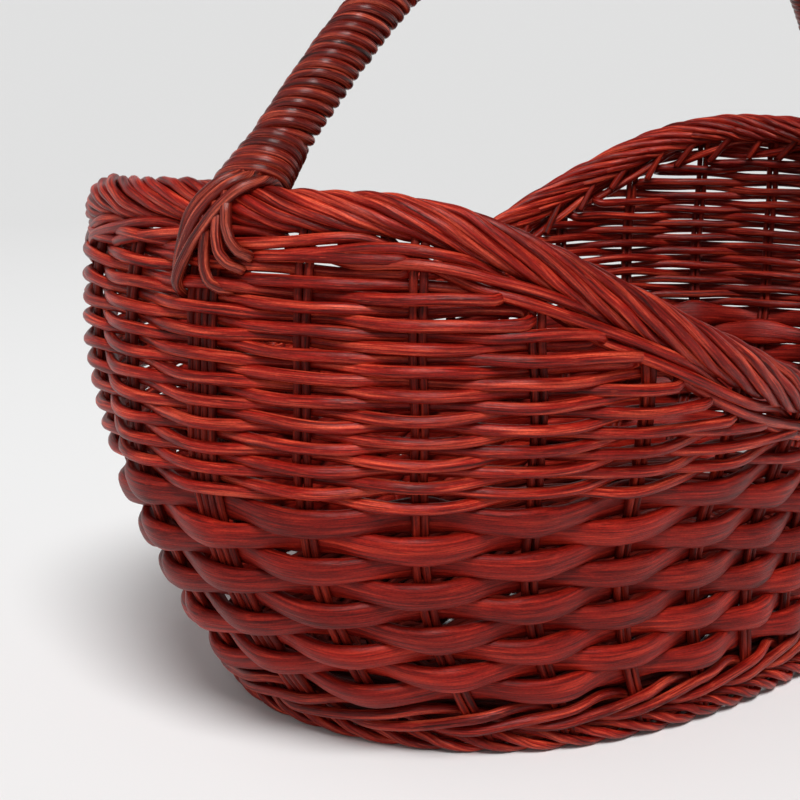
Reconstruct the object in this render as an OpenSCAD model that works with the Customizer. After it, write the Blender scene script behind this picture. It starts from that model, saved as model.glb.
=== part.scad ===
// Oval market basket with a fixed bow handle, woven from round and flat rods.
// The frame stands on its foot border, with the long axis along X and Z up.
// The origin is on the ground, under the middle of the basket.

/* [Plan and profile] */
// Length of the foot oval
foot_length = 322; // [290:2:340]
// Width of the foot oval
foot_width = 202; // [190:2:220]
// Growth of the length from the foot to the widest level
length_growth = 126; // [100:2:140]
// Growth of the width from the foot to the widest level
width_growth = 70; // [60:2:80]
// How far the oval plan swells towards a rounded rectangle
squareness = 0.09; // [0:0.01:0.12]

/* [Wall heights] */
// Height of the border's top at both ends
end_height = 190; // [185:1:195]
// Height of the border's top at the middle of both sides
side_height = 116; // [114:1:125]
// Level where the flat rods begin
flat_weave_start = 22.2; // [22:0.1:23]
// Level where the flat rods end and the round rods begin
flat_weave_end = 95; // [93:0.2:96]

/* [Rods] */
// Number of places round the wall that hold a pair of stakes
stake_count = 32; // [32:32:32]
// Diameter of one stake rod
stake_rod = 2.5; // [2:0.1:2.8]
// Diameter of one round weaving rod
round_rod = 3.2; // [3:0.1:3.4]
// Height of one flat weaving rod
flat_rod_height = 7.5; // [6.5:0.1:7.8]
// Thickness of one flat weaving rod
flat_rod_thickness = 5; // [4:0.1:5.4]
// Rows of flat rods
flat_rows = 9; // [9:1:9]
// Height that one row of round rods takes up
round_row_pitch = 3.4; // [3.4:0.05:3.7]

/* [Border and foot] */
// Thickness of the rolled border on the rim
border_thickness = 14; // [12:0.5:15]
// Turns that the border's strands make in one circuit
border_turns = 11; // [10:1:18]
// Height of the foot border
foot_border_height = 8.5; // [7:0.5:8.5]
// Width of the foot border
foot_border_width = 8; // [7:0.5:9]

/* [Handle] */
// Height of the bow above the place where it leaves the wall
bow_rise = 127.5; // [110:0.5:140]
// How far the bow leans to the front for each millimetre that it rises
bow_lean = 0.15; // [0:0.01:0.2]
// Diameter of the bow's core
bow_core = 10; // [9:0.5:11]
// Diameter of the handle over its wrapping
handle_grip = 18; // [16:0.5:19]

/* [Hidden] */
// Rows of round rods at each end, and how many of them share one group
end_rows = 20;
rows_in_group = 4;
end_groups = [for (g = [0 : ceil(end_rows / rows_in_group) - 1]) g];
end_names = ["left", "right"];
wale_rods = 3;
base_rounds = 8;
stake_quarters = ["right_end", "back", "left_end", "front"];

// The two woven-in offsets: half a stake, half a rod and a little air
weave_air = 0.15;
round_offset = stake_rod / 2 + round_rod / 2 + weave_air;
flat_offset = stake_rod / 2 + flat_rod_thickness / 2 + weave_air;
border_radius = border_thickness / 2;
rim_wale_pitch = round_rod + 0.2;
foot_wale_pitch = round_rod + 0.6;
// The profile reaches its widest at these heights, and bends by these powers
long_full_height = 117;
long_bend = 0.97;
wide_full_height = 140;
wide_bend = 3.15;
// Above this height the wall draws in again, by these amounts over the next stretch
draw_in_height = 145;
draw_in_stretch = 35;
long_draw_in = 6;
wide_draw_in = 8;
// The border stays level for this many degrees of plan angle at each end
level_end_angle = 20;
// Stakes crowd towards the middle of the long sides by these many degrees: evenly
// spaced along the rim, and closer in the lower wall
rim_crowding = 6;
foot_crowding = 11;
crowding_start = 80;
crowding_end = 150;
handle_half_span = 222;
handle_spring_height = 163;
handle_curve = 2.69;

// ---- the shape of the wall ----
function share(z, low, high) = max(0, min(1, (z - low) / (high - low)));
function swell(z, foot, growth, full, bend, draw_in) =
    foot + growth * sin(90 * pow(share(z, 0, full), bend))
    - draw_in * pow(max(0, z - draw_in_height) / draw_in_stretch, 2);
function half_length(z) =
    swell(z, foot_length / 2, length_growth / 2, long_full_height, long_bend, long_draw_in);
function half_width(z) =
    swell(z, foot_width / 2, width_growth / 2, wide_full_height, wide_bend, wide_draw_in);
// A point of the wall at plan angle a and height z, moved outwards by out
function wall(a, z, out = 0) =
    let (c = cos(a), s = sin(a))
    [(half_length(z) + out) * c * (1 + squareness * s * s),
     (half_width(z) + out) * s * (1 + squareness * c * c), z];
function crowding(z) =
    let (ease = (1 + cos(180 * share(z, crowding_start, crowding_end))) / 2)
    rim_crowding + (foot_crowding - rim_crowding) * ease;
function even_angle(u, z) = u + crowding(z) * sin(2 * u);
function stake_angle(i, z) = even_angle(360 * i / stake_count, z);
function from_end(a) = acos(min(1, abs(cos(a))));
function rim_share(a) =
    (1 + cos(180 * max(0, from_end(a) - level_end_angle) / (90 - level_end_angle))) / 2;
function rim_height(a) = side_height + (end_height - side_height) * rim_share(a);
// A point beside stake i at height z, moved outwards by out
function woven(i, z, out = 0) = wall(stake_angle(i, z), z, out);
// The height that lies this far below the rim, at stake i
function below_rim(i, drop) =
    let (first = rim_height(stake_angle(i, (side_height + end_height) / 2)))
    rim_height(stake_angle(i, first - drop)) - drop;

// ---- rods as closed tubes ----
function unit(v) = v / norm(v);
function last(p) = len(p) - 1;
function tangent(p, i, closed) =
    unit(closed ? p[(i + 1) % len(p)] - p[(i + last(p)) % len(p)]
                : p[min(i + 1, last(p))] - p[max(i - 1, 0)]);
function ring(c, t, up, w, h, sides) =
    let (s = unit(cross(t, up)), u = cross(s, t))
    [for (k = [0 : sides - 1]) let (a = 360 * (k + 0.5) / sides) c + s * w * cos(a) + u * h * sin(a)];
// A tube is [points, faces]: w across and h along the up direction, both half sizes
function tube(p, w, h, sides, closed = false, up = [0, 0, 1]) =
    let (n = len(p), spans = closed ? n : n - 1)
    [[for (i = [0 : n - 1]) each ring(p[i], tangent(p, i, closed), up, w, h, sides)],
     concat(
        [for (i = [0 : spans - 1]) for (k = [0 : sides - 1])
            let (a = i * sides, b = ((i + 1) % n) * sides, j = (k + 1) % sides)
            each [[a + k, b + k, a + j], [a + j, b + k, b + j]]],
        closed ? [] : [[for (k = [0 : sides - 1]) k],
                       [for (k = [sides - 1 : -1 : 0]) (n - 1) * sides + k]])];
function joined(tubes, i = 0, base = 0, pts = [], faces = []) =
    i == len(tubes) ? [pts, faces]
    : joined(tubes, i + 1, base + len(tubes[i][0]), concat(pts, tubes[i][0]),
             concat(faces, [for (f = tubes[i][1]) [for (v = f) v + base]]));
module rods(tubes) {
    all = joined(tubes);
    polyhedron(points = all[0], faces = all[1], convexity = 10);
}
function side_of(i) = i % 2 == 0 ? 1 : -1;

// ---- base ----
fan_half = 3;
cross_first = fan_half + 1;
cross_last = stake_count / 2 - cross_first;
base_level = 9;
base_stick = 4;
base_gap = 4.4;
base_edge = -8;
// Where a base stick ends at the wall, and where its woven part begins
function stick_end(i) = let (p = woven(i, 0, base_edge)) [p.x, p.y, base_level];
fan_root = abs(stick_end(cross_first).x) - 6;
function fan_index(i) = let (m = ((i % stake_count) + stake_count) % stake_count)
    m <= fan_half ? m : m >= stake_count - fan_half ? m - stake_count
    : abs(m - stake_count / 2) <= fan_half ? stake_count / 2 - m : undef;
function stick_root(i) =
    let (e = stick_end(i), f = fan_index(i))
    is_undef(f) ? [e.x, sign(e.y) * base_gap * (fan_half + 0.5), base_level]
                : [sign(e.x) * fan_root, f * base_gap, base_level];

module foot_border() {
    color("firebrick") linear_extrude(foot_border_height) difference() {
        polygon(foot_outline(foot_border_width / 2));
        polygon(foot_outline(-foot_border_width / 2));
    }
}
function foot_outline(out) =
    [for (i = [0 : 63]) let (p = woven(i / 2, 0, out)) [p.x, p.y]];

module base_long_sticks() {
    color("firebrick") rods([for (f = [-fan_half : fan_half])
        tube([stick_end(stake_count / 2 - f), stick_root(stake_count / 2 - f), stick_root(f), stick_end(f)],
             base_stick / 2, base_stick / 2, 6)]);
}

module base_cross_sticks() {
    stick_drop = base_level - base_stick;
    color("firebrick") for (i = [cross_first : cross_last]) let (e = stick_end(i))
        translate([e.x, e.y, stick_drop]) rotate([90, 0, 0])
            cylinder(d = base_stick, h = 2 * e.y, $fn = 24);
}

module base_weave() {
    half_step = base_stick / 2 + 0.2;
    color("brown") rods([for (k = [0 : base_rounds - 1])
        tube([for (i = [0 : stake_count - 1])
                let (r = stick_root(i), e = stick_end(i), f = (k + 0.6) / (base_rounds + 0.3))
                r + (e - r) * f + [0, 0, half_step * side_of(i + k) * 0.6]],
             3, 1.4, 4, true)]);
}

// ---- wall ----
stake_levels = [0.04, 0.25, 0.5, 0.75, 1];
module stakes(quarter) {
    half_gap = stake_rod / 2 + 0.1;
    per_quarter = stake_count / 4;
    first = per_quarter * quarter - per_quarter / 2;
    color("maroon") rods([for (i = [first : first + per_quarter - 1]) for (m = [-1, 1])
        let (top = below_rim(i, border_thickness),
             levels = [for (f = stake_levels) foot_border_height + f * (top - foot_border_height)],
             d = unit(woven(i + 0.1, 50) - woven(i - 0.1, 50)))
        tube([for (z = levels) woven(i, z) + d * m * half_gap],
             stake_rod / 2, stake_rod / 2, 4, false, d)]);
}

// Each rod below goes right round the wall, in front of some stakes and behind others
module foot_wale_rod(k) {
    level = foot_border_height + round_rod / 2 + 0.2 + (k - 1) * foot_wale_pitch;
    path = [for (i = [0 : stake_count - 1])
        woven(i, level, round_offset * ((i + k) % wale_rods == 0 ? -1 : 1))];
    color("firebrick") rods([tube(path, round_rod / 2, round_rod / 2, 5, true)]);
}

module flat_rod_row(k) {
    pitch = (flat_weave_end - flat_weave_start) / flat_rows;
    level = flat_weave_start + (k - 0.5) * pitch;
    path = [for (i = [0 : stake_count - 1]) woven(i, level, flat_offset * side_of(i + k))];
    color("brown") rods([tube(path, flat_rod_thickness / 2, flat_rod_height / 2, 6, true)]);
}

function row_level(k) = flat_weave_end + round_row_pitch * (k + 0.6);
// The last stake that row k reaches, counted from the end of the basket
reach_air = border_thickness + wale_rods * rim_wale_pitch;
function row_reach(k) =
    len([for (i = [1 : stake_count / 4]) if (below_rim(i, reach_air) > row_level(k) + round_rod) i]);
// Rows k and k + 1 are one rod, which turns back past the last stake on one side
function hairpin(k, turn, centre) =
    let (n = row_reach(k + 1), m = row_reach(k))
    concat(
        [for (i = [-m : n]) woven(centre + turn * i, row_level(k), round_offset * side_of(i))],
        [woven(centre + turn * (n + 0.5), (row_level(k) + row_level(k + 1)) / 2, 0)],
        [for (i = [n : -1 : -n]) woven(centre + turn * i, row_level(k + 1), -round_offset * side_of(i))]);

module round_rod_rows(end, group) {
    centre = end == 0 ? stake_count / 2 : 0;
    first = group * rows_in_group;
    color("firebrick") rods([for (k = [first : 2 : min(first + rows_in_group, end_rows) - 1])
        tube(hairpin(k, (k / 2) % 2 == 0 ? 1 : -1, centre), round_rod / 2, round_rod / 2, 4)]);
}

module rim_wale_rod(k) {
    drop = border_thickness + round_rod / 2 + 0.2 + (k - 1) * rim_wale_pitch;
    path = [for (i = [0 : stake_count - 1])
        woven(i, below_rim(i, drop), round_offset * ((i + k) % wale_rods == 0 ? -1 : 1))];
    color("firebrick") rods([tube(path, round_rod / 2, round_rod / 2, 5, true)]);
}

// ---- border ----
strand_radius = border_radius * 0.5;
steps_in_turn = 9;
function border_centre(u) =
    let (a = even_angle(u, crowding_end)) wall(a, rim_height(a) - border_radius);
module border_strand(k) {
    steps = border_turns * steps_in_turn;
    path = [for (i = [0 : steps - 1])
        let (u = 360 * i / steps, c = border_centre(u),
             t = unit(border_centre(u + 1) - border_centre(u - 1)),
             out = unit(cross(t, [0, 0, 1])), up = cross(out, t),
             turn = -u * border_turns + 120 * k)
        c + (out * cos(turn) + up * sin(turn)) * (border_radius - strand_radius)];
    color("firebrick") rods([tube(path, strand_radius * 0.92, strand_radius * 0.92, 5, true)]);
}

// ---- handle ----
function bow(u) =
    let (rise = bow_rise * (1 - pow(abs(u), handle_curve)))
    [u * handle_half_span, -rise * bow_lean, handle_spring_height + rise];
// Below the wrapping the bow goes straight down inside the wall
bow_root_levels = [70, 110, 145, 165, 181];
bow_root_in = -13;
wrap_reach = 0.87;
bow_bare = 0.905;
module handle_bow() {
    spans = 18;
    roots = len(bow_root_levels) - 1;
    arch = [for (i = [0 : spans]) bow(bow_bare * (2 * i / spans - 1))];
    left = [for (z = bow_root_levels) wall(180, z, bow_root_in)];
    right = [for (i = [roots : -1 : 0]) wall(0, bow_root_levels[i], bow_root_in)];
    path = concat(left, arch, right);
    color("saddlebrown") rods([tube(path, bow_core / 2, bow_core / 2, 8, false, [0, 1, 0])]);
}

module handle_wrap() {
    spans = 22;
    path = [for (i = [0 : spans]) bow(wrap_reach * (2 * i / spans - 1))];
    color("brown") rods([sleeve(path, handle_grip / 2, bow_core / 2 + 0.2, 10)]);
}
// A tube with a bore along it
function sleeve(p, outer, inner, sides) =
    let (a = tube(p, outer, outer, sides, false, [0, 1, 0]),
         b = tube(p, inner, inner, sides, false, [0, 1, 0]),
         n = len(p) * sides, spans = (len(p) - 1) * sides * 2, e = n - sides)
    [concat(a[0], b[0]),
     concat([for (i = [0 : spans - 1]) a[1][i]],
            [for (i = [0 : spans - 1]) let (f = b[1][i]) [f[0] + n, f[2] + n, f[1] + n]],
            [for (k = [0 : sides - 1]) let (j = (k + 1) % sides) each [
                [k, j, n + k], [j, n + j, n + k],
                [e + k, n + e + k, e + j], [e + j, n + e + k, n + e + j]]])];

collar_rod = 3.6;
collar_turns = 3;
// Share of the bow's half span that one turn of the collar takes up
collar_step = 0.013;
module handle_collar(end) {
    side = end == 0 ? -1 : 1;
    radius = bow_core / 2 + collar_rod / 2 + 0.4;
    color("brown") for (k = [0 : collar_turns - 1])
        let (u = side * (wrap_reach + 0.01 + collar_step * k), p = bow(u), q = bow(u + 0.01),
             slope = atan2(q.z - p.z, q.x - p.x))
        translate(p) rotate([0, 90 - slope, 0])
            rotate_extrude($fn = 32) translate([radius, 0]) circle(d = collar_rod, $fn = 16);
}

lashing_rod = 3.6;
lashing_rods = 3;
lashing_spread = 12;
lashing_drop = 26;
module handle_lashing(end) {
    turn = end == 0 ? 180 : 0;
    span = border_radius + lashing_rod / 2 + 0.4;
    color("brown") rods([for (slant = [-1, 1]) for (k = [0 : lashing_rods - 1])
        let (lift = slant > 0 ? lashing_rod + 0.2 : 0, top = end_height - border_radius,
             foot = end_height - border_thickness - lashing_drop + k * 4,
             side = slant * (lashing_spread - k * 4.2), a = turn + side / half_width(150) * 57,
             b = turn - side / half_width(150) * 40)
        tube([wall(a, foot, round_offset + 3.8), wall(a, foot + 12, round_offset + 3.8 + lift),
              wall(turn + (a - turn) * 0.4, top - 2, span + lift),
              wall(b, top + span * 0.8, span * 0.5 + lift), wall(b, top + span + lift, -span * 0.6)],
             lashing_rod / 2, lashing_rod / 2, 5, false, [0, 1, 0])]);
}

foot_border();
base_long_sticks();
base_cross_sticks();
base_weave();
for (q = [0 : 3]) stakes(q);
for (k = [1 : wale_rods]) foot_wale_rod(k);
for (k = [1 : flat_rows]) flat_rod_row(k);
for (e = [0, 1]) for (g = end_groups)
    round_rod_rows(e, g);
for (k = [1 : wale_rods]) rim_wale_rod(k);
for (k = [1 : 3]) border_strand(k);
handle_bow();
handle_wrap();
for (e = [0, 1]) handle_collar(e);
for (e = [0, 1]) handle_lashing(e);
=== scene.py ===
import math

import bpy
import numpy as np
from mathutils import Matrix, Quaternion, Vector


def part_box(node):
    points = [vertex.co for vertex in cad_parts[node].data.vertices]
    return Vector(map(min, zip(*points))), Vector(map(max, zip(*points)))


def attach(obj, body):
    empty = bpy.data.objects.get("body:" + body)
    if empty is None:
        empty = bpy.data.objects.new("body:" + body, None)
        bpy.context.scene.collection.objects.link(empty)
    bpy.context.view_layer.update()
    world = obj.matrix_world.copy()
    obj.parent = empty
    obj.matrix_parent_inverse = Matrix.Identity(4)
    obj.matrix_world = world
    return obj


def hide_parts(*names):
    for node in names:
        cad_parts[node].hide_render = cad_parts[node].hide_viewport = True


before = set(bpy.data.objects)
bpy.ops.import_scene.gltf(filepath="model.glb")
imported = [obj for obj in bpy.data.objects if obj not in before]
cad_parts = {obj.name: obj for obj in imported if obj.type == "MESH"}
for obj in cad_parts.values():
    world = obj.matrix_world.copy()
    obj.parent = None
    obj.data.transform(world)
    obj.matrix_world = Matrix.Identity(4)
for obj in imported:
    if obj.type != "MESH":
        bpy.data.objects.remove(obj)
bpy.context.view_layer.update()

# A red market basket. Every rod is swept on its own, on the wall, base and bow that the CAD has.
# Lengths are in millimetres here, and become metres when a piece is made. Places round the wall are
# given as stake numbers i, from 0 at the right end by way of the back, and they needn't be whole.
MM = 0.001
rng = np.random.default_rng(7)


# ---- sizes taken from the frame ----
def low_high(node):
    """A CAD node's lowest and highest corners, in millimetres."""
    low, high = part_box(node)
    return np.array(low) / MM, np.array(high) / MM


def middle_level(node):
    low, high = low_high(node)
    return (low[2] + high[2]) / 2


FLAT_ROWS = 9
FOOT_BORDER_WIDTH = 8
FOOT_HALF_LENGTH = low_high("foot_border")[1][0] - FOOT_BORDER_WIDTH / 2
FOOT_HALF_WIDTH = low_high("foot_border")[1][1] - FOOT_BORDER_WIDTH / 2
FOOT_TOP = low_high("foot_border")[1][2]
FIRST_FLAT_LEVEL = middle_level("flat_rod_row_1")
FLAT_PITCH = (middle_level(f"flat_rod_row_{FLAT_ROWS}") - FIRST_FLAT_LEVEL) / (FLAT_ROWS - 1)
FLAT_WEAVE_END = FIRST_FLAT_LEVEL + FLAT_PITCH * (FLAT_ROWS - 0.5)

# ---- the shape of the wall, as in the CAD model ----
LENGTH_GROWTH = 63
WIDTH_GROWTH = 35
SQUARENESS = 0.09
LONG_FULL_HEIGHT = 117
LONG_BEND = 0.97
WIDE_FULL_HEIGHT = 140
WIDE_BEND = 3.15
DRAW_IN_HEIGHT = 145
DRAW_IN_STRETCH = 35
LONG_DRAW_IN = 6
WIDE_DRAW_IN = 8
END_HEIGHT = 190
SIDE_HEIGHT = 116
LEVEL_END_ANGLE = 20
# only the visual border sags, at the back left
RIM_SAG = 3.2
SAG_ANGLE = 152
SAG_STRETCH = 15
STAKES = 32
# about, along the wall. It only paces the slow random waves of a rod.
STAKE_SPACING = 33
RIM_CROWDING = 6
FOOT_CROWDING = 11
CROWDING_START = 80
CROWDING_END = 150

# ---- rods ----
STAKE_ROD = 2.7
ROUND_ROD = 3.85
WALE_ROD = 3.6
FLAT_THICKNESS = 5.0
FLAT_HEIGHT_OVER = 10.2
FLAT_HEIGHT_BETWEEN = 8.6
FLAT_HEIGHT_BEHIND = 13
ROUND_PITCH = 3.47
END_ROWS = 20
GROUP_ROWS = 4
WEAVE_PRESS = 0.35
ROUND_OFFSET = (STAKE_ROD + ROUND_ROD) / 2 - WEAVE_PRESS
FLAT_OFFSET = (STAKE_ROD + FLAT_THICKNESS) / 2 - WEAVE_PRESS
BORDER_THICKNESS = 14
BORDER_TURNS = 11
WALE_PERIOD = 3
WALE_SWING = 3.9
WALE_BAND = 2 * WALE_SWING + WALE_ROD
WALE_UNDER_BORDER = 2.2
FOOT_SWING = 4.6
FOOT_WALE_GAP = 1.2


def share(z, low, high):
    return np.clip((z - low) / (high - low), 0, 1)


def swell(z, foot, growth, full, bend, draw_in):
    drawn = np.maximum(0, z - DRAW_IN_HEIGHT) / DRAW_IN_STRETCH
    return foot + growth * np.sin(np.pi / 2 * share(z, 0, full) ** bend) - draw_in * drawn ** 2


def wall(angle, z):
    """Points of the wall's middle surface at plan angles (degrees) and heights."""
    a = np.radians(angle)
    half_length = swell(z, FOOT_HALF_LENGTH, LENGTH_GROWTH, LONG_FULL_HEIGHT, LONG_BEND, LONG_DRAW_IN)
    half_width = swell(z, FOOT_HALF_WIDTH, WIDTH_GROWTH, WIDE_FULL_HEIGHT, WIDE_BEND, WIDE_DRAW_IN)
    x = half_length * np.cos(a) * (1 + SQUARENESS * np.sin(a) ** 2)
    y = half_width * np.sin(a) * (1 + SQUARENESS * np.cos(a) ** 2)
    return np.stack([x, y, z + np.zeros_like(x)], axis=-1)


def even_angle(u, z):
    """Plan angles for even positions u: closer together towards the middle of the long sides."""
    ease = (1 + np.cos(np.pi * share(z, CROWDING_START, CROWDING_END))) / 2
    crowding = RIM_CROWDING + (FOOT_CROWDING - RIM_CROWDING) * ease
    return u + crowding * np.sin(np.radians(2 * u))


def stake_angle(i, z):
    return even_angle(360 * np.asarray(i, float) / STAKES, z)


def rim_height(angle):
    """The level of the border's top: high at both ends, and sagging a little at the back left corner."""
    from_end = np.degrees(np.arccos(np.minimum(1, np.abs(np.cos(np.radians(angle))))))
    fall = np.maximum(0, from_end - LEVEL_END_ANGLE) / (90 - LEVEL_END_ANGLE)
    sag = RIM_SAG * np.exp(-((angle - SAG_ANGLE) / SAG_STRETCH) ** 2)
    return SIDE_HEIGHT + (END_HEIGHT - SIDE_HEIGHT) * (1 + np.cos(np.pi * fall)) / 2 - sag


def unit(v):
    return v / np.linalg.norm(v, axis=-1, keepdims=True)


def below_rim(i, drop):
    """The height that lies this far below the rim, at stake numbers i."""
    first = rim_height(stake_angle(i, (SIDE_HEIGHT + END_HEIGHT) / 2))
    return rim_height(stake_angle(i, first - drop)) - drop


def wall_frame(i, z):
    """Point, outward normal and upward direction of the wall at stake numbers i and heights z."""
    a = stake_angle(i, z)
    point = wall(a, z)
    along = wall(a + 0.5, z) - wall(a - 0.5, z)
    rise = unit(wall(a, z + 1) - wall(a, z - 1))
    normal = unit(np.cross(along, rise))
    return point, normal, rise


def wander(s, size, length):
    """A smooth random wave over the distances s."""
    total = np.zeros_like(s)
    for stretch in (1.0, 0.61, 0.37):
        total += np.sin(2 * np.pi * (s / (length * stretch) + rng.random()))
    return total * size / 1.7


def soften(path, passes):
    """Rounds the corners of a path in place. Its two ends stay."""
    for _ in range(passes):
        path[1:-1] = (path[:-2] + path[1:-1] * 2 + path[2:]) / 4


# ---- rods as closed meshes ----
def run_length(path):
    steps = np.linalg.norm(np.diff(path, axis=0), axis=1)
    return np.concatenate([[0], np.cumsum(steps)])


def resample(path, step):
    """The same route with points about one step apart."""
    s = run_length(path)
    even = np.linspace(0, s[-1], max(4, int(s[-1] / step) + 1))
    return np.stack([np.interp(even, s, path[:, axis]) for axis in range(path.shape[1])], axis=1)


CUT_ROUNDING = 0.45
CUT_SHARE = 0.78
THICKNESS_WAVE = 45
LOBE_DEPTH = 0.02
GRAIN_SPREAD = 900


def rod(path, up, half_wide, half_high=None, sides=12, plump=1.0, uneven=0.035):
    """One rod swept along path. up is the direction of half_high, and the cut ends are slightly rounded.

    plump below 1 makes the section squarer, and uneven is how much the thickness wanders.
    """
    count = len(path)
    half_wide = np.broadcast_to(np.asarray(half_wide, float), count)
    half_high = half_wide if half_high is None else np.broadcast_to(np.asarray(half_high, float), count)
    up = np.broadcast_to(np.asarray(up, float), (count, 3))
    tangent = unit(np.gradient(path, axis=0))
    # one extra ring at each end rounds the cut
    before = path[:1] - tangent[:1] * CUT_ROUNDING
    after = path[-1:] + tangent[-1:] * CUT_ROUNDING
    path = np.concatenate([before, path, after])
    tangent, up, half_wide, half_high = [
        np.concatenate([values[:1], values, values[-1:]]) for values in (tangent, up, half_wide, half_high)]
    side = unit(np.cross(tangent, up))
    over = np.cross(side, tangent)
    s = run_length(path)
    size = 1 + wander(s, uneven, THICKNESS_WAVE)
    size[[0, -1]] *= CUT_SHARE
    theta = 2 * np.pi * (np.arange(sides) + 0.5) / sides
    lobes = 1 + LOBE_DEPTH * np.cos(3 * theta + 6.28 * rng.random())
    c = np.sign(np.cos(theta)) * np.abs(np.cos(theta)) ** plump * lobes
    d = np.sign(np.sin(theta)) * np.abs(np.sin(theta)) ** plump * lobes
    across = c[None, :] * (half_wide * size)[:, None]
    high = d[None, :] * (half_high * size)[:, None]
    points = path[:, None] + side[:, None] * across[..., None] + over[:, None] * high[..., None]
    shift = rng.random(3) * GRAIN_SPREAD
    grain = np.stack([np.broadcast_to(s[:, None], across.shape), across, high], axis=-1) + shift
    rings = len(path)
    base = (np.arange(rings - 1) * sides)[:, None] + np.arange(sides)[None, :]
    turned = (np.arange(rings - 1) * sides)[:, None] + (np.arange(sides)[None, :] + 1) % sides
    quads = np.stack([base, turned, turned + sides, base + sides], axis=-1).reshape(-1, 4)
    tone = np.full(rings * sides, rng.random())
    return {"points": points.reshape(-1, 3), "grain": grain.reshape(-1, 3), "tone": tone,
            "quads": quads, "caps": [np.arange(sides)[::-1], np.arange(sides) + (rings - 1) * sides]}


def make_piece(name, rods, material, slot, *nodes):
    """One object from a list of rods, riding on the basket and standing for CAD nodes."""
    quads, caps, first = [], [], 0
    for one in rods:
        quads.append(one["quads"] + first)
        caps += [(cap + first).tolist() for cap in one["caps"]]
        first += len(one["points"])
    points = np.concatenate([one["points"] for one in rods]) * MM
    mesh = bpy.data.meshes.new(name)
    mesh.from_pydata(points.tolist(), [], np.concatenate(quads).tolist() + caps)
    smooth = np.ones(len(mesh.polygons), bool)
    smooth[len(mesh.polygons) - len(caps):] = False
    mesh.polygons.foreach_set("use_smooth", smooth)
    grain = mesh.attributes.new("grain", "FLOAT_VECTOR", "POINT")
    grain_values = np.concatenate([one["grain"] for one in rods]).astype(np.float32)
    grain.data.foreach_set("vector", grain_values.ravel())
    tone = mesh.attributes.new("tone", "FLOAT", "POINT")
    tone.data.foreach_set("value", np.concatenate([one["tone"] for one in rods]).astype(np.float32))
    mesh.update()
    piece = bpy.data.objects.new(name, mesh)
    bpy.context.scene.collection.objects.link(piece)
    mesh.materials.append(material)
    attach(piece, "root")
    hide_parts(*nodes)


# ---- materials ----
def linear(r, g, b):
    """A colour given in sRGB, from 0 to 1, as the shader's linear values."""
    return [v / 12.92 if v <= 0.04045 else ((v + 0.055) / 1.055) ** 2.4 for v in (r, g, b)] + [1.0]


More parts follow.
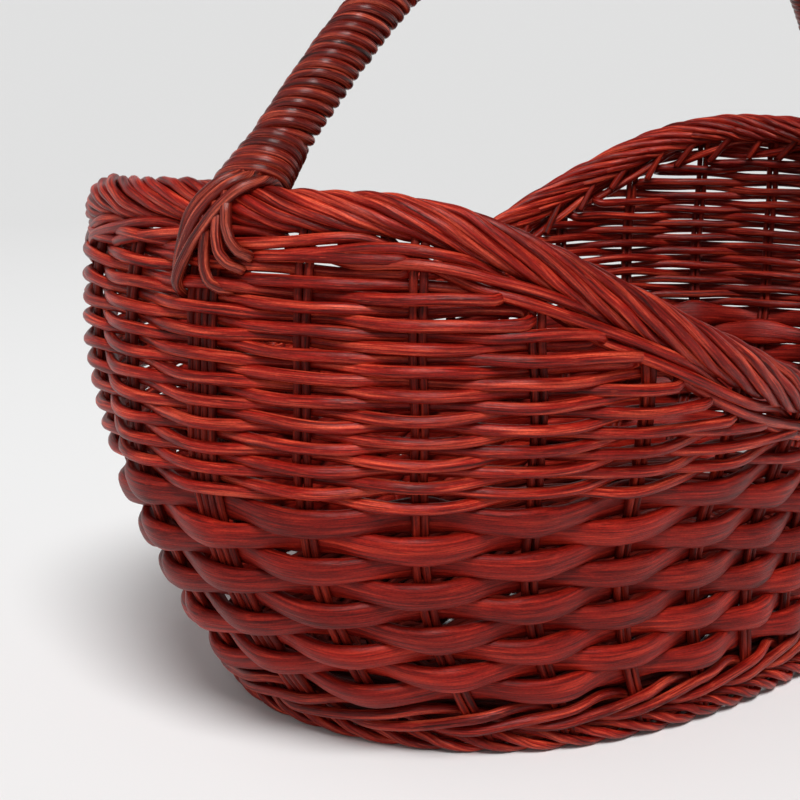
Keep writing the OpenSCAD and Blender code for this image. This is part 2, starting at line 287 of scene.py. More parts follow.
def rod_material(name, dark, body, light, roughness, gloss_level, fibre=1.0):
    """Dyed rod: streaks and fine fibres along each rod, every rod its own tone, with a soft satin finish.
    The light end of the streaks is partly painted highlight, and the pale flecks are painted highlights.

    Noise scales are per millimetre: along the rod, and twice across it.
    """
    material = bpy.data.materials.new(name)
    material.use_nodes = True
    nodes = material.node_tree.nodes
    links = material.node_tree.links
    shader = nodes["Principled BSDF"]
    shader.inputs["Base Color"].default_value = linear(*body)
    shader.inputs["Specular IOR Level"].default_value = gloss_level

    def node(kind, **values):
        made = nodes.new(kind)
        for key, value in values.items():
            setattr(made, key, value)
        return made

    def noise(scale, detail, roughness_value):
        """Noise over the rod's own coordinates, drawn out along its length."""
        mapping = node("ShaderNodeMapping")
        mapping.inputs["Scale"].default_value = scale
        made = node("ShaderNodeTexNoise")
        made.inputs["Scale"].default_value = 1.0
        made.inputs["Detail"].default_value = detail
        made.inputs["Roughness"].default_value = roughness_value
        links.new(grain.outputs["Vector"], mapping.inputs["Vector"])
        links.new(mapping.outputs["Vector"], made.inputs["Vector"])
        return made.outputs["Fac"]

    def ramp(source, *stops):
        made = node("ShaderNodeValToRGB")
        elements = made.color_ramp.elements
        while len(elements) < len(stops):
            elements.new(0.5)
        for element, (place, colour) in zip(elements, stops):
            element.position = place
            element.color = colour
        links.new(source, made.inputs["Fac"])
        return made.outputs["Color"]

    def math_node(operation, *values):
        made = node("ShaderNodeMath", operation=operation)
        for socket, value in zip(made.inputs, values):
            if isinstance(value, (int, float)):
                socket.default_value = value
            else:
                links.new(value, socket)
        return made.outputs["Value"]

    def mix(kind, factor, a, b):
        made = node("ShaderNodeMix", data_type="RGBA", blend_type=kind)
        # inputs 0, 6 and 7 are the factor and the two colours, and output 2 is the colour
        for socket, value in zip((made.inputs[0], made.inputs[6], made.inputs[7]), (factor, a, b)):
            if isinstance(value, (int, float, list)):
                socket.default_value = value
            else:
                links.new(value, socket)
        return made.outputs[2]

    grain = node("ShaderNodeAttribute", attribute_name="grain")
    tone = node("ShaderNodeAttribute", attribute_name="tone")
    streaks = noise((0.030, 0.8, 0.8), 4, 0.6)
    fibres = noise((0.055, 2.6, 2.6), 3, 0.65)
    blotches = noise((0.05, 0.12, 0.12), 2, 0.5)
    highlight_flecks = noise((0.16, 3.4, 3.4), 2, 0.6)
    speckle = noise((1.3, 3.0, 3.0), 2, 0.6)
    # streaks from dark through body to light: the dye's own unevenness along the rod, and the light end is
    # partly painted highlight
    colour = ramp(streaks, (0.30, linear(*dark)), (0.50, linear(*body)), (0.72, linear(*light)))
    groove, ridge = (0.30, 0.22, 0.22, 1), (1.5, 1.7, 1.7, 1)
    fibre_shade = ramp(fibres, (0.36, groove), (0.50, (1, 1, 1, 1)), (0.66, ridge))
    colour = mix("MULTIPLY", 0.75 * fibre, colour, fibre_shade)
    blotch_shade = ramp(blotches, (0.35, (0.72, 0.70, 0.72, 1)), (0.62, (1.1, 1.08, 1.05, 1)))
    colour = mix("MULTIPLY", 0.8, colour, blotch_shade)
    dull_rod, bright_rod = (0.74, 0.72, 0.74, 1), (1.16, 1.22, 1.15, 1)
    tone_shade = ramp(tone.outputs["Fac"], (0.0, dull_rod), (0.55, (1, 1, 1, 1)), (1.0, bright_rod))
    colour = mix("MULTIPLY", 1.0, colour, tone_shade)
    speckle_shade = ramp(speckle, (0.35, (0.74, 0.70, 0.70, 1)), (0.65, (1.22, 1.26, 1.26, 1)))
    colour = mix("MULTIPLY", 0.8, colour, speckle_shade)
    # painted highlights: small pale flecks of the light colour, mixed over the rod at random places
    painted_highlight_mask = ramp(highlight_flecks, (0.62, (0, 0, 0, 1)), (0.70, (1, 1, 1, 1)))
    colour = mix("MIX", math_node("MULTIPLY", painted_highlight_mask, 0.5), colour, linear(*light))
    links.new(colour, shader.inputs["Base Color"])
    # the noise is about a half on average, so the roughness swings round the value that is asked for
    uneven_roughness = math_node("MULTIPLY_ADD", fibres, 0.25, roughness - 0.12)
    links.new(uneven_roughness, shader.inputs["Roughness"])
    height = math_node("MULTIPLY_ADD", fibres, 0.7, streaks)
    bump = node("ShaderNodeBump")
    bump.inputs["Strength"].default_value = 0.6 * fibre
    bump.inputs["Distance"].default_value = 0.45 * MM
    links.new(height, bump.inputs["Height"])
    links.new(bump.outputs["Normal"], shader.inputs["Normal"])
    return material


# each light colour is partly painted highlight, in the pale streaks and in the flecks
RED_ROD = rod_material(
    "red_rod", dark=(0.222, 0.019, 0.01), body=(0.521, 0.072, 0.037), light=(0.83, 0.315, 0.216),
    roughness=0.36, gloss_level=0.17)
FLAT_ROD = rod_material(
    "flat_red_rod", dark=(0.338, 0.038, 0.021), body=(0.492, 0.072, 0.04), light=(0.656, 0.172, 0.108),
    roughness=0.42, gloss_level=0.14, fibre=0.85)
STAKE_RED = rod_material(
    "stake_rod", dark=(0.212, 0.029, 0.017), body=(0.415, 0.067, 0.033), light=(0.618, 0.172, 0.1),
    roughness=0.45, gloss_level=0.12)
HANDLE_ROD = rod_material(
    "handle_rod", dark=(0.174, 0.027, 0.015), body=(0.415, 0.072, 0.037), light=(0.772, 0.325, 0.224),
    roughness=0.26, gloss_level=0.32)
# painted shade: a darker copy of the rod colours for the base, which lies deep inside the basket
SHADED_BASE_ROD = rod_material(
    "base_rod", dark=(0.125, 0.014, 0.008), body=(0.27, 0.038, 0.021), light=(0.405, 0.096, 0.05),
    roughness=0.5, gloss_level=0.1)


# ---- wall rows ----
# between the rings of a rod, in millimetres, and between the points of its route, in stake numbers
RING_SPACING = 2.4
ROUTE_STEP = 0.06
FIRST_SEAM = 5
SEAM_SHIFT = 3
FLAT_END_GAP = 0.02
FLAT_RINGS = 430
FIRST_ROUND_ROW = 0.6
ROW_INTO_WALE = 0.22
TURN_ROOM = 0.2
NOSE_REACH = 0.94
NOSE_LENGTH = 0.11


def flat_row(k):
    """A broad rod that passes in front of every second stake. Its ends meet behind a stake."""
    start = FIRST_SEAM + SEAM_SHIFT * k
    i = np.linspace(start + FLAT_END_GAP, start + STAKES - FLAT_END_GAP, FLAT_RINGS)
    wave = np.cos(np.pi * (i + k))
    run = i * STAKE_SPACING
    level = FIRST_FLAT_LEVEL + (k - 1) * FLAT_PITCH + wander(run, 0.25, 260)
    point, normal, rise = wall_frame(i, level)
    path = point + normal * (FLAT_OFFSET * wave + wander(run, 0.2, 140))[:, None]
    broadest = np.where(wave > 0, FLAT_HEIGHT_OVER, FLAT_HEIGHT_BEHIND)
    half_high = (FLAT_HEIGHT_BETWEEN + (broadest - FLAT_HEIGHT_BETWEEN) * wave ** 2) / 2
    return rod(path, rise, FLAT_THICKNESS / 2, half_high, sides=18, plump=0.82, uneven=0.045)


def rim_middle(i):
    """The level of the middle of the band of wale rods under the border."""
    return below_rim(i, BORDER_THICKNESS + WALE_BAND / 2 - WALE_UNDER_BORDER)


def foot_middle(i):
    """The level of the middle of the band of wale rods over the foot border."""
    return FOOT_TOP + FOOT_SWING + FOOT_WALE_GAP + np.zeros_like(i)


def wale_rods(middle, seam, swing_size):
    """Three rods, each in front of two stakes and behind one, climbing as they pass in front.

    The rods start one stake apart, and each ends near the start of the next.
    """
    made = []
    behind_phase = 2.5
    half_period = WALE_PERIOD / 2
    end_gap = 0.03
    smoothing = np.hanning(11)
    lengths = (STAKES + 1, STAKES + 1, STAKES - 2)
    for k, length in enumerate(lengths):
        i = np.arange(seam + k + end_gap, seam + k + length - end_gap, ROUTE_STEP)
        phase = (i - seam - k + behind_phase) % WALE_PERIOD
        away = np.abs((phase - behind_phase + half_period) % WALE_PERIOD - half_period)
        wave = np.where(away < 1, -np.cos(np.pi * np.minimum(away, 1)), 1)
        # from -1 up to 1 over two thirds of the period, and back down over the last third
        swing = np.where(phase < 2, phase - 1, 5 - 2 * phase)
        padded = np.pad(swing, len(smoothing) // 2, mode="edge")
        swing = np.convolve(padded, smoothing / smoothing.sum(), mode="valid")
        run = i * STAKE_SPACING
        level = middle(i) + swing_size * swing + wander(run, 0.25, 120)
        point, normal, _ = wall_frame(i, level)
        path = point + normal * (ROUND_OFFSET * wave + wander(run, 0.2, 90))[:, None]
        path = resample(path, RING_SPACING)
        made.append(rod(path, (0, 0, 1), WALE_ROD / 2))
    return made


def row_level(k):
    return FLAT_WEAVE_END + ROUND_PITCH * (k + FIRST_ROUND_ROW)


def row_reach(k):
    """How many stakes from the end a row gets: the last stake that it weaves past, and where it stops."""
    i = np.arange(1, STAKES / 4 + 0.5, 0.02)
    clear = below_rim(i, BORDER_THICKNESS + WALE_BAND * ROW_INTO_WALE) > row_level(k) + ROUND_ROD / 2
    reach = i[clear][-1]
    last = max(1, math.floor(reach - TURN_ROOM))
    return last, min(reach, last + NOSE_REACH)


def route_part(along, side, level):
    """Points as (stake numbers from the end, side of the stakes from -1 to 1, level)."""
    return np.column_stack(np.broadcast_arrays(along, side, level))


def round_rows(centre, group, rows):
    """Some rows woven with one rod, which turns back past the last stake that it can reach."""
    parts = []
    for n in range(rows):
        k = group * GROUP_ROWS + n
        direction = 1 if n % 2 == 0 else -1
        is_top = n == rows - 1
        last_stake, row_end = row_reach(k)
        # a row that turns back does so where the row above it can still reach
        turn_stake, nose = (row_end, row_end) if is_top else row_reach(k + 1)
        begin = row_end if n == 0 else last_stake
        along = np.arange(-begin, turn_stake, ROUTE_STEP) * direction
        parts.append(route_part(along, np.cos(np.pi * (along + k)), row_level(k)))
        if is_top:
            continue
        # straight on past the last stake, round the nose, and back on the stake's other side
        side = math.cos(math.pi * (turn_stake + k))
        leg = np.arange(turn_stake, nose - NOSE_LENGTH, ROUTE_STEP) * direction
        turn = np.linspace(0, np.pi, 12)
        parts.append(route_part(leg, side, row_level(k)))
        parts.append(route_part(
            (nose - NOSE_LENGTH + NOSE_LENGTH * np.sin(turn)) * direction,
            side * np.cos(turn),
            row_level(k) + ROUND_PITCH * (1 - np.cos(turn)) / 2))
        parts.append(route_part(leg[::-1], -side, row_level(k + 1)))
    route = np.concatenate(parts)
    run = np.concatenate([[0], np.cumsum(np.abs(np.diff(route[:, 0])) * STAKE_SPACING)])
    level = route[:, 2] + wander(run, 0.38, 95)
    point, normal, _ = wall_frame(centre + route[:, 0], level)
    path = point + normal * (ROUND_OFFSET * route[:, 1] + wander(run, 0.25, 70))[:, None]
    path = resample(path, RING_SPACING)
    return [rod(path, (0, 0, 1), ROUND_ROD / 2)]


STAKE_GAP = 0.12
STAKE_BOTTOM = 4
STAKE_INTO_BORDER = 0.6
CUT_END_PLACES = (0.15, 0.62)
CUT_END_SHIFT = 0.24
CUT_END_DROP = 10
CUT_END_ROD = 3.1


def stake_pair(i):
    """The rods of one stake, side by side from the foot up into the border: four where the bow stands."""
    count = 4 if i % (STAKES // 2) == 0 else 2
    made = []
    top = below_rim(i, BORDER_THICKNESS * STAKE_INTO_BORDER)
    z = np.arange(STAKE_BOTTOM, top, 3.0)
    point, normal, rise = wall_frame(np.full_like(z, i), z)
    along = np.cross(rise, normal)
    for m in range(count):
        sideways = (m - (count - 1) / 2) * (STAKE_ROD + STAKE_GAP)
        path = point + along * (sideways + wander(z, 0.15, 80))[:, None]
        path = path + normal * wander(z, 0.12, 60)[:, None]
        made.append(rod(path, normal, STAKE_ROD / 2))
    return made + [cut_end(i + place) for place in CUT_END_PLACES]


def cut_end(i):
    """The end of a bent stake rod, which comes out under the border inside the basket."""
    reach = np.linspace(0, 1, 10)
    at = i + (CUT_END_SHIFT + rng.normal(0, 0.05)) * reach
    drop = BORDER_THICKNESS * 0.7 + (CUT_END_DROP + rng.normal(0, 1.5)) * reach
    point, normal, _ = wall_frame(at, below_rim(at, drop))
    path = point - normal * (3.5 + 2.6 * reach)[:, None]
    return rod(path, normal, CUT_END_ROD / 2, sides=10)


# ---- rolled borders ----
BUNDLES = BORDER_TURNS * 3
RODS_IN_BUNDLE = 3
BUNDLE_SPREAD = 0.32
ROLL_START = 222
ROLL_END = -188
ROLL_RATE = 9
BORDER_CORE_ROD = 3.5
FOOT_STROKES = 66
FOOT_ROLL_START = 205
FOOT_ROLL_END = -175
FOOT_ROLL_RATE = 19


def border_centre(u):
    """Points of the border's middle line at even plan angles u."""
    a = even_angle(u, CROWDING_END)
    return wall(a, rim_height(a) - BORDER_THICKNESS / 2)


def border_frame(u):
    """The border's middle, and its outward and upward directions, at even plan angles u."""
    tangent = unit(border_centre(u + 0.5) - border_centre(u - 0.5))
    out = unit(np.cross(tangent, (0, 0, 1)))
    return border_centre(u), out, np.cross(out, tangent)


def border_rods(k):
    """A third of the rolled border: bundles that come up from inside, roll over the rim and end inside."""
    made = []
    advance = 360 / BORDER_TURNS
    for b in range(k, BUNDLES, 3):
        lift = rng.normal(-0.1, 0.28)
        for m in range(RODS_IN_BUNDLE):
            turn = np.linspace(ROLL_START + rng.normal(0, 4), ROLL_END + rng.normal(0, 9), 80)
            u = (b + (m - 1) * BUNDLE_SPREAD) * 360 / BUNDLES + (ROLL_START - turn) / 360 * advance
            centre, out, up = border_frame(u)
            # the rod's distance from the border's middle, by roll angle: both its ends tuck in
            radius = np.interp(turn, (-190, -165, -110, 120, 165, 222), (3.0, 4.5, 5.2, 5.2, 4.2, 2.8))
            run = (ROLL_START - turn) * 0.3
            radius = radius + lift + wander(run, 0.25, 40)
            t = np.radians(turn + wander(run, 2.2, 60))[:, None]
            radial = out * np.cos(t) + up * np.sin(t)
            path = centre + radial * radius[:, None]
            half = np.linspace(1.88, 1.62, len(turn)) * (1 + rng.normal(0, 0.03))
            made.append(rod(path, radial, half, sides=10))
    # one of the three twisted rods that fill the border's middle
    u = np.linspace(0.4, 359.6, 460)
    centre, out, up = border_frame(u)
    t = np.radians(120 * k - u * ROLL_RATE)[:, None]
    made.append(rod(centre + (out * np.cos(t) + up * np.sin(t)) * 2.0, up, BORDER_CORE_ROD / 2, sides=8))
    return made


def foot_border_rods():
    """The rolled edge that the basket stands on: slanting strokes all round, close together."""
    made = []
    for b in range(FOOT_STROKES):
        turn = np.linspace(FOOT_ROLL_START, FOOT_ROLL_END, 40)
        u = b * 360 / FOOT_STROKES + (FOOT_ROLL_START - turn) / FOOT_ROLL_RATE
        a = even_angle(u, 0)
        centre = wall(a, np.full_like(a, FOOT_TOP / 2 + 0.2))
        tangent = unit(wall(a + 0.5, np.zeros_like(a)) - wall(a - 0.5, np.zeros_like(a)))
        out = unit(np.cross(tangent, (0, 0, 1)))
        t = np.radians(turn + wander(turn, 3, 150))[:, None]
        wide = np.interp(turn, (-175, -120, 130, 205), (3.1, 2.7, 2.7, 1.4))[:, None]
        high = np.interp(turn, (-175, -120, 130, 205), (2.7, 2.7, 2.7, 1.0))[:, None]
        radial = out * np.cos(t) * wide + np.array((0, 0, 1)) * np.sin(t) * high
        made.append(rod(centre + radial, unit(radial), 1.62, 1.45, sides=10))
    return made


# ---- base ----
# sticks on each side of the middle long stick that spread like a fan at both ends
FAN = 3
BASE_LEVEL = 9
BASE_STICK = 4
BASE_STICK_RINGS = 4.0
BASE_GAP = 4.4
BASE_EDGE = -4
BASE_ROUNDS = 22
BASE_ROD_THICKNESS = 3.4
BASE_SWING = 2.6
BASE_ROUTE_STEP = 0.12
BASE_END_GAP = 0.03
BASE_RING_SPACING = 3.0
FAN_SETBACK = 6
HOOP_LEVELS = np.arange(3.0, 24.0, 3.2)
HOOP_INSET = 5.8
HOOP_ROD = 3.6


def stick_end(i):
    """Where the stick that meets stake i ends, a little inside the wall's foot."""
    point, normal, _ = wall_frame(np.array([float(i)]), np.array([0.0]))
    flat = unit(normal[0] * (1, 1, 0))
    return point[0] * (1, 1, 0) + flat * BASE_EDGE + (0, 0, BASE_LEVEL)


def fan_index(i):
    """Which long stick meets stake i, counted from the middle one, or None for a cross stick."""
    m = i % STAKES
    if m <= FAN:
        return m
    if m >= STAKES - FAN:
        return m - STAKES
    if abs(m - STAKES // 2) <= FAN:
        return STAKES // 2 - m
    return None


FAN_ROOT = abs(stick_end(FAN + 1)[0]) - FAN_SETBACK


def stick_root(i):
    """Where the rounds of weave start on the stick that meets stake i."""
    end, fan = stick_end(i), fan_index(i)
    if fan is None:
        return np.array([end[0], np.sign(end[1]) * BASE_GAP * (FAN + 0.5), BASE_LEVEL])
    return np.array([np.sign(end[0]) * FAN_ROOT, fan * BASE_GAP, BASE_LEVEL])


def long_sticks():
    """Sticks that run the length of the base and spread like a fan at both ends."""
    made = []
    for fan in range(-FAN, FAN + 1):
        other = STAKES // 2 - fan
        corners = np.array([stick_end(other), stick_root(other), stick_root(fan), stick_end(fan)])
        path = resample(corners, BASE_STICK_RINGS)
        soften(path, 2)
        made.append(rod(path, (0, 0, 1), BASE_STICK / 2))
    return made


def cross_sticks():
    """Sticks across the base, under the long ones."""
    made = []
    for i in range(FAN + 1, STAKES // 2 - FAN):
        end = stick_end(i)
        y = np.arange(-end[1], end[1], BASE_STICK_RINGS)
        path = np.stack([np.full_like(y, end[0]), y, np.full_like(y, BASE_LEVEL - BASE_STICK)], axis=1)
        made.append(rod(path, (0, 0, 1), BASE_STICK / 2))
    return made


def base_weave():
    """Rounds of weaving rods over and under the sticks, from the middle out to the wall."""
    roots = np.array([stick_root(i) for i in range(STAKES)])
    ends = np.array([stick_end(i) for i in range(STAKES)])
    made = []
    for k in range(BASE_ROUNDS):
        outward = (k + 0.7) / (BASE_ROUNDS + 0.2)
        knots = roots + (ends - roots) * outward
        knots = np.concatenate([knots, knots[:1]])
        i = np.arange(BASE_END_GAP, STAKES - BASE_END_GAP, BASE_ROUTE_STEP) + k
        x, y = [np.interp(i % STAKES, np.arange(STAKES + 1), knots[:, axis]) for axis in (0, 1)]
        place = np.column_stack([x, y])
        soften(place, 6)
        level = BASE_LEVEL + BASE_SWING * np.cos(np.pi * (i + k))
        path = np.column_stack([place, level])
        made.append(rod(resample(path, BASE_RING_SPACING), (0, 0, 1), BASE_ROD_THICKNESS / 2))
    return made + [foot_hoop(level) for level in HOOP_LEVELS]


def foot_hoop(level):
    """A rod that runs round inside the wall's foot and closes the corner between base and wall."""
    i = np.arange(BASE_END_GAP, STAKES - BASE_END_GAP, BASE_ROUTE_STEP) + level
    run = i * STAKE_SPACING
    point, normal, _ = wall_frame(i, level + wander(run, 0.3, 110))
    path = point - normal * (HOOP_INSET + wander(run, 0.25, 90))[:, None]
    return rod(resample(path, BASE_RING_SPACING), (0, 0, 1), HOOP_ROD / 2)


# ---- handle ----
# Places on the bow are given as u, from -1 at the left foot to 1 at the right one.
HANDLE_HALF_SPAN = 222
HANDLE_SPRING = 163
HANDLE_RISE = 127.5
HANDLE_CURVE = 2.69
HANDLE_LEAN = 0.15
BOW_SIDE = np.array((0.0, 1.0, 0.0))
CORE_RADIUS = 5
CORE_INSET = 13
BARE_REACH = 0.905
WRAP_ROD = 3.6
WRAP_RADIUS = 7.2
WRAP_STARTS = 5
WRAP_PITCH = 19
WRAP_REACH = 0.888
COLLAR_TURNS = 5
COLLAR_STEP = 0.0092
COLLAR_OVERLAP = 0.004


def bow(u):
    """Points of the bow's middle line, which leans a little to the front."""
    rise = HANDLE_RISE * (1 - np.abs(u) ** HANDLE_CURVE)
    return np.stack([u * HANDLE_HALF_SPAN, -rise * HANDLE_LEAN, HANDLE_SPRING + rise], axis=-1)


def handle_core():
    """The pole inside the bow. Both its ends go down inside the wall."""
    z = np.array([70.0, 110.0, 145.0, 165.0, 181.0])
    left_root, right_root = [wall(np.full_like(z, angle), z) for angle in (180.0, 0.0)]
    left_root[:, 0] += CORE_INSET
    right_root[:, 0] -= CORE_INSET
    arch = bow(np.linspace(-BARE_REACH, BARE_REACH, 160))
    path = resample(np.concatenate([left_root, arch, right_root[::-1]]), 4.0)
    soften(path, 3)
    return [rod(path, BOW_SIDE, CORE_RADIUS, sides=16, uneven=0.01)]


def wound_rod(start):
    """One of the rods that are wound side by side round the bow, begun at the angle start."""
    line = resample(bow(np.linspace(-WRAP_REACH, WRAP_REACH, 900)), 0.2)
    tangent = unit(np.gradient(line, axis=0))
    over = np.cross(tangent, BOW_SIDE)
    turn = run_length(line) / WRAP_PITCH * 2 * np.pi
    even_turn = np.arange(0, turn[-1], 0.2)
    line, over, tangent = [
        np.stack([np.interp(even_turn, turn, values[:, axis]) for axis in range(3)], axis=1)
        for values in (line, over, tangent)]
    run = even_turn * WRAP_RADIUS
    reach = WRAP_RADIUS + wander(run, 0.12, 150)
    around = even_turn + start
    radial = BOW_SIDE * np.cos(around)[:, None] + over * np.sin(around)[:, None]
    path = line + radial * reach[:, None] + unit(tangent) * wander(run, 0.22, 130)[:, None]
    return rod(path, radial, WRAP_ROD / 2, uneven=0.04)


def smooth_curve(knots, step=1.4, passes=10):
    """A smooth route through given points."""
    t = np.linspace(0, 1, 80)
    knot_t = np.linspace(0, 1, len(knots))
    curve = np.stack([np.interp(t, knot_t, knots[:, axis]) for axis in range(3)], axis=1)
    soften(curve, passes)
    return resample(curve, step)


def collar(end):
    """Windings at one foot of the bow, wider and leaning more towards the border that they sit on."""
    made = []
    for n in range(COLLAR_TURNS):
        angle = np.radians(np.linspace(-20, 340, 70))
        along = n + angle / (2 * np.pi)
        u = -(WRAP_REACH - COLLAR_OVERLAP) - COLLAR_STEP * along
        tangent = unit(bow(u + 0.01) - bow(u - 0.01))
        over = np.cross(tangent, BOW_SIDE)
        lean = -(2.4 + 0.3 * along)[:, None]
        wide = (7.5 + 0.6 * along)[:, None]
        deep = (7.5 + 0.3 * along)[:, None]
        sideways = BOW_SIDE * (0.2 * along)[:, None]
        radial = BOW_SIDE * np.cos(angle)[:, None] * wide + over * np.sin(angle)[:, None] * deep
        path = bow(u) + sideways + radial + tangent * lean * np.cos(angle)[:, None]
        # shaped at the left foot, and mirrored for the right one
        path[:, 0] *= -end
        made.append(rod(path, unit(radial) * (-end, 1, 1), 2.0, 1.9))
    return made


# Routes of the lashing rods at one foot of the bow, each point as (sideways, outwards, height).
# Sideways is towards the front, and outwards is from the middle of the border at the basket's end.
LASHING_OVER = (
    ((2, -12, 187), (6, -7, 191), (7, -1, 192), (4, 4, 190), (0, 8, 185),
     (-4, 9, 179), (-5, 10, 173), (-6, 10, 169), (-7, 9, 165), (-7, 5, 162)),
    ((6, -13, 187), (10, -7, 191), (12, 0, 192), (9, 5, 190), (4, 8.5, 185),
     (0, 9.5, 180), (-3, 10.5, 173), (-5, 11.5, 167), (-6, 11, 162), (-7, 6, 159)),
    ((13, -13, 186), (16, -7, 190), (17, 0, 191), (14, 6, 189), (9, 9, 184), (4, 10, 178),
     (0, 11.5, 172), (-3, 12.5, 166), (-5.5, 12.5, 161), (-7, 10, 158), (-7.5, 6, 155)),
)
LASHING_UNDER = (
    ((9, 6, 187), (11, 8.5, 183), (12, 9.5, 178), (14, 10, 174), (16, 9, 171), (18, 5.5, 169)),
    ((6, 7, 184), (7.5, 8.5, 180), (8.5, 10, 175), (10, 10.5, 170), (12.5, 9.5, 167), (15, 5.5, 165)),
    ((2, 8, 180), (3.5, 9, 176), (4, 10.5, 170), (5, 11.5, 165), (6.5, 11, 161), (8.5, 8.5, 159),
     (10, 5, 158)),
)


def lashing(end):
    """Rods that bind one foot of the bow: three over the border to one side, three to the other."""
    made = []
    rim_length = wall(np.array([0.0]), np.array([END_HEIGHT - BORDER_THICKNESS / 2]))[0, 0]
    for route in LASHING_OVER + LASHING_UNDER:
        knots = np.array([(end * (rim_length + out), -sideways, height) for sideways, out, height in route])
        path = smooth_curve(knots)
        tangent = unit(np.gradient(path, axis=0))
        across = unit(np.cross(tangent, np.array((end, 0.0, 0.3))))
        made.append(rod(path, np.cross(across, tangent), WRAP_ROD / 2))
    return made


# ---- pieces ----
for k in range(1, FLAT_ROWS + 1):
    make_piece(f"broad_row_{k}", [flat_row(k)], FLAT_ROD, "flat_rods", f"flat_rod_row_{k}")

# the last group has two rows more than its CAD node, and they fill the wall up to the wale
GROUPS = END_ROWS // GROUP_ROWS
for name, centre in (("left", STAKES / 2), ("right", 0.0)):
    for group in range(GROUPS):
        rows = GROUP_ROWS + (2 if group == GROUPS - 1 else 0)
        make_piece(f"{name}_rows_{group + 1}", round_rows(centre, group, rows), RED_ROD, "round_rods",
                   f"{name}_round_rod_rows_{group + 1}")

RIM_SEAM = 6
FOOT_SEAM = 9
for k, one in enumerate(wale_rods(rim_middle, RIM_SEAM, WALE_SWING)):
    make_piece(f"rim_wale_{k + 1}", [one], RED_ROD, "round_rods", f"rim_wale_rod_{k + 1}")
for k, one in enumerate(wale_rods(foot_middle, FOOT_SEAM, FOOT_SWING)):
    make_piece(f"foot_wale_{k + 1}", [one], RED_ROD, "round_rods", f"foot_wale_rod_{k + 1}")

for quarter, place in enumerate(("right_end", "back", "left_end", "front")):
    first = STAKES // 4 * quarter - STAKES // 8
    rods = []
    for i in range(first, first + STAKES // 4):
        rods += stake_pair(i)
    make_piece(f"stake_rods_{place}", rods, STAKE_RED, "stakes", f"stakes_{place}")

for k in range(3):
    make_piece(f"rolled_border_{k + 1}", border_rods(k), RED_ROD, "border_rods", f"border_strand_{k + 1}")
make_piece("rolled_foot", foot_border_rods(), RED_ROD, "round_rods", "foot_border")

make_piece("base_long_rods", long_sticks(), SHADED_BASE_ROD, "base_rods", "base_long_sticks")
make_piece("base_cross_rods", cross_sticks(), SHADED_BASE_ROD, "base_rods", "base_cross_sticks")
make_piece("base_rounds", base_weave(), SHADED_BASE_ROD, "base_rods", "base_weave")

make_piece("handle_core_rod", handle_core(), HANDLE_ROD, "handle_core", "handle_bow")
windings = [wound_rod(2 * math.pi * n / WRAP_STARTS) for n in range(WRAP_STARTS)]
make_piece("handle_winding", windings, HANDLE_ROD, "handle_rods", "handle_wrap")
for name, end in (("left", -1), ("right", 1)):
    make_piece(f"{name}_collar", collar(end), HANDLE_ROD, "handle_rods", f"{name}_handle_collar")
    make_piece(f"{name}_lashing", lashing(end), HANDLE_ROD, "handle_rods", f"{name}_handle_lashing")


# ---- stage ----
def map_range(nodes, low, high, at_low, at_high):
    """A node that turns values from low to high into values from at_low to at_high."""
    made = nodes.new("ShaderNodeMapRange")
    made.inputs["From Min"].default_value = low
    made.inputs["From Max"].default_value = high
    made.inputs["To Min"].default_value = at_low
    made.inputs["To Max"].default_value = at_high
    return made


def floor_material():
    """Pale and matt, with painted light: paler near the middle and a shade darker far away, standing in for
    light that falls off with distance.
    """
    material = bpy.data.materials.new("pale_floor")
    material.use_nodes = True
    nodes = material.node_tree.nodes
    links = material.node_tree.links
    shader = nodes["Principled BSDF"]
    shader.inputs["Base Color"].default_value = linear(0.95, 0.95, 0.95)
    shader.inputs["Roughness"].default_value = 0.9
    shader.inputs["Specular IOR Level"].default_value = 0.1
    place = nodes.new("ShaderNodeTexCoord")
    distance = nodes.new("ShaderNodeVectorMath")
    distance.operation = "LENGTH"
    # painted light: the floor's colour falls from 0.84 near the middle to 0.70 far off
    paleness = map_range(nodes, 0.2, 1.3, 0.84, 0.70)
    links.new(place.outputs["Object"], distance.inputs[0])
    links.new(distance.outputs["Value"], paleness.inputs["Value"])
    links.new(paleness.outputs["Result"], shader.inputs["Base Color"])
    return material


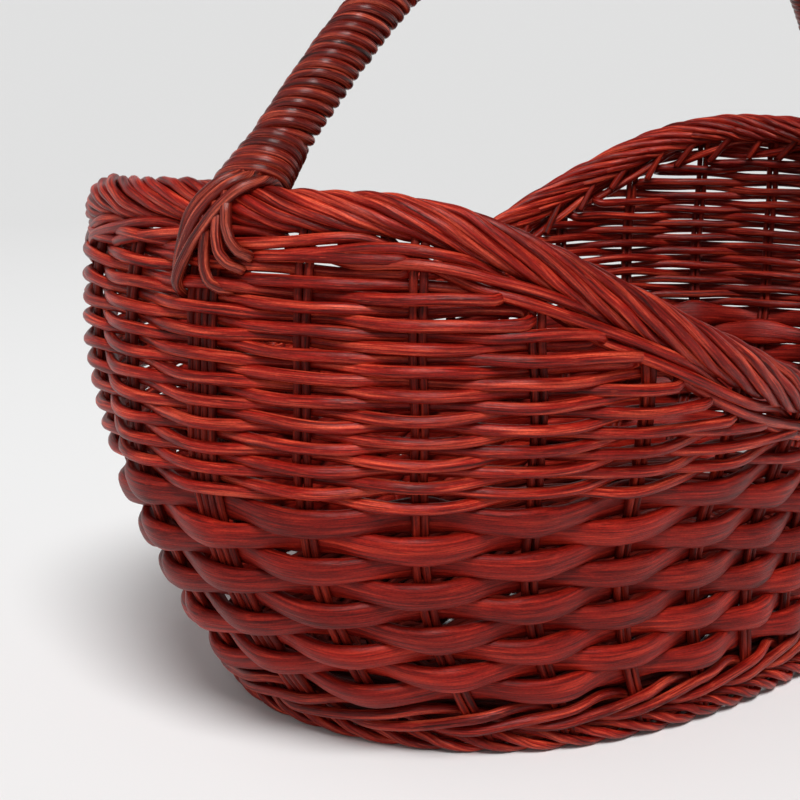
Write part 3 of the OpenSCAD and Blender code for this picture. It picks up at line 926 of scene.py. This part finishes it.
def make_floor():
    """A plain round floor with its edge far off."""
    radius = 80.0
    spokes = 96
    turns = [2 * math.pi * spoke / spokes for spoke in range(spokes)]
    points = [(radius * math.cos(a), radius * math.sin(a), 0.0) for a in turns]
    mesh = bpy.data.meshes.new("floor")
    mesh.from_pydata(points, [], [list(range(spokes))])
    mesh.materials.append(floor_material())
    floor = bpy.data.objects.new("floor", mesh)
    bpy.context.scene.collection.objects.link(floor)


def make_sun(name, direction, softness, strength):
    """A soft light from one direction. Softness is the light's width in degrees."""
    data = bpy.data.lights.new(name, "SUN")
    data.angle = math.radians(softness)
    data.energy = strength
    light = bpy.data.objects.new(name, data)
    bpy.context.scene.collection.objects.link(light)
    light.rotation_euler = Vector(direction).to_track_quat("Z", "Y").to_euler()


def make_world(near_horizon, overhead):
    """Soft light from all round: as pale as the floor near the horizon and dimmer higher up."""
    world = bpy.data.worlds.new("studio")
    world.use_nodes = True
    nodes = world.node_tree.nodes
    links = world.node_tree.links
    background = nodes["Background"]
    direction = nodes.new("ShaderNodeTexCoord")
    parts = nodes.new("ShaderNodeSeparateXYZ")
    paleness = map_range(nodes, 0.22, 0.42, near_horizon, overhead)
    links.new(direction.outputs["Generated"], parts.inputs["Vector"])
    links.new(parts.outputs["Z"], paleness.inputs["Value"])
    links.new(paleness.outputs["Result"], background.inputs["Color"])
    bpy.context.scene.world = world


def make_camera():
    """The photograph's viewing angle, which is close and a little from above, with a slight roll."""
    place = Vector((-635.6, -387.8, 247.4)) * MM
    forward = Vector((0.7781, 0.5911, -0.2125))
    roll = math.radians(1.1)
    data = bpy.data.cameras.new("camera")
    data.lens = 85.7
    data.sensor_width = 36
    camera = bpy.data.objects.new("camera", data)
    bpy.context.scene.collection.objects.link(camera)
    camera.location = place
    turn = forward.to_track_quat("-Z", "Y") @ Quaternion((0, 0, 1), roll)
    camera.rotation_euler = turn.to_euler()
    bpy.context.scene.camera = camera


make_floor()
make_sun("key", (-0.72, -0.66, 1.3), 24, 3.05)
make_sun("left_fill", (-0.8, 0.55, 1.0), 70, 0.45)
make_world(0.76, 0.14)
make_camera()
bpy.context.scene.view_settings.view_transform = "Standard"
